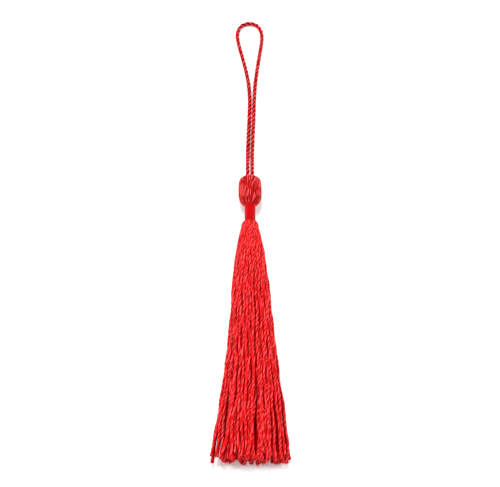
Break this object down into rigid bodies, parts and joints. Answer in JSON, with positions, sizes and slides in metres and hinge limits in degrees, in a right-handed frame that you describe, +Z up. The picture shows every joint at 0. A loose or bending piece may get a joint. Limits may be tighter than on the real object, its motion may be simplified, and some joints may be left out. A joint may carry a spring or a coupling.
{
  "type": "silk tassel with hanging loop",
  "caption": "Silk tassel with a rounded head, a bound neck, a long skirt of twisted threads and a cord loop to hang it by, lying on its side.",
  "frame": {"origin": "middle of the underside of the tassel without its loop, on the surface that it lies on", "axes": "+Y along the tassel from the cut end of the skirt to the head and the loop, +Z up from the surface, +X across the skirt"},
  "size_m": [0.0196, 0.1309, 0.0058],
  "materials": {
    "silk_floss": "glossy twisted crimson floss",
    "silk_binding": "glossy crimson thread wound close",
    "silk_cord": "glossy crimson cord of twisted plies"
  },
  "bodies": {
    "root": {"floss_bundle": "silk_floss", "neck_binding": "silk_binding", "hanging_loop": "silk_cord"}
  },
  "joints": []
}
